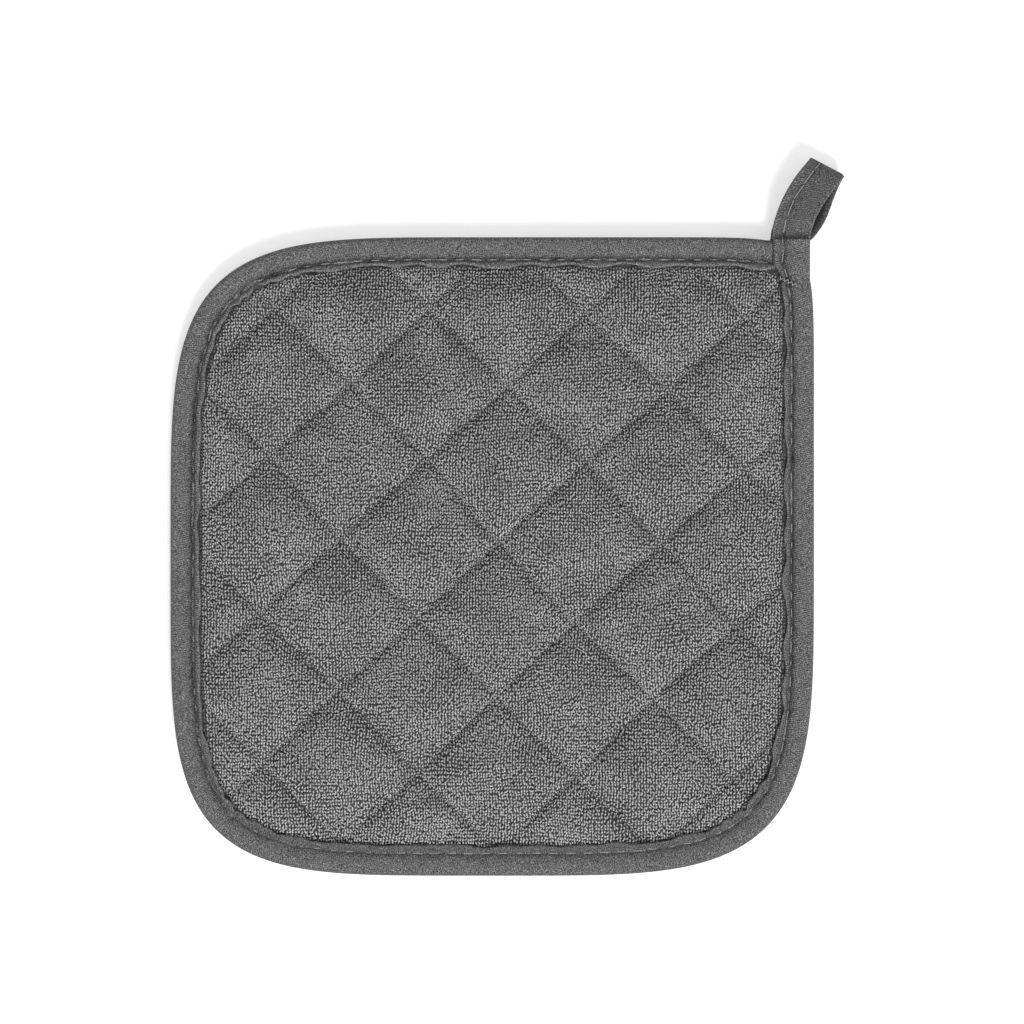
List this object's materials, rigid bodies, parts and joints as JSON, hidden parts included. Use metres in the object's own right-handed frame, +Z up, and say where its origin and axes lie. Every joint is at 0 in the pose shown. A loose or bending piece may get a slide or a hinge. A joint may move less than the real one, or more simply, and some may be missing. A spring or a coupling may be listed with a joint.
{
  "type": "pot holder",
  "caption": "Square quilted terry pot holder, its edge bound with folded tape that runs on into a hanging loop at a corner.",
  "frame": {"origin": "middle of the whole footprint, on the surface that the pot holder lies on", "axes": "+Z up from that surface through the pad, +Y towards the side that the hanging loop stands out from, +X towards the side that the loop is nearer to"},
  "size_m": [0.2124, 0.2264, 0.0102],
  "materials": {
    "terry": "looped cotton terry, matt",
    "wadding": "loose cotton wadding, matt",
    "back_terry": "looped cotton terry, matt",
    "tape": "twill cotton tape, matt",
    "tape_thread": "spun sewing thread, slight sheen",
    "quilting_thread": "spun sewing thread, slight sheen"
  },
  "bodies": {
    "root": {"front_cloth": "terry", "wadding": "wadding", "back_cloth": "back_terry", "binding_tape": "tape", "binding_thread": "tape_thread", "quilting_thread_01": "quilting_thread", "quilting_thread_02": "quilting_thread", "quilting_thread_03": "quilting_thread", "quilting_thread_04": "quilting_thread", "quilting_thread_05": "quilting_thread", "quilting_thread_06": "quilting_thread", "quilting_thread_07": "quilting_thread", "quilting_thread_08": "quilting_thread", "quilting_thread_09": "quilting_thread", "quilting_thread_10": "quilting_thread", "quilting_thread_11": "quilting_thread", "quilting_thread_12": "quilting_thread", "quilting_thread_13": "quilting_thread", "quilting_thread_14": "quilting_thread"}
  },
  "joints": []
}
